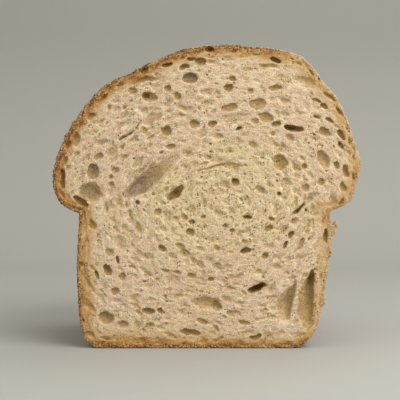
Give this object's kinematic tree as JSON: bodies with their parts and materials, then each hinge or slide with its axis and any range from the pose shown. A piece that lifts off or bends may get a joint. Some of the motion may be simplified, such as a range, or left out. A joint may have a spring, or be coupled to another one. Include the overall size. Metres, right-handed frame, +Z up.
{
  "type": "sandwich loaf",
  "caption": "Cut sandwich loaf: airy crumb in a thin browned crust, its crown bulging over straight tin-shaped walls, with a flat base to stand on.",
  "frame": {"origin": "middle of the base's outer box, on the surface that the loaf stands on", "axes": "+Z up, the cut face looks towards -Y and the crusted end towards +Y, +X to the right of the cut face seen head on"},
  "size_m": [0.1507, 0.116, 0.1479],
  "materials": {
    "bread": "matt, porous"
  },
  "bodies": {
    "root": {"loaf": "bread"}
  },
  "joints": []
}
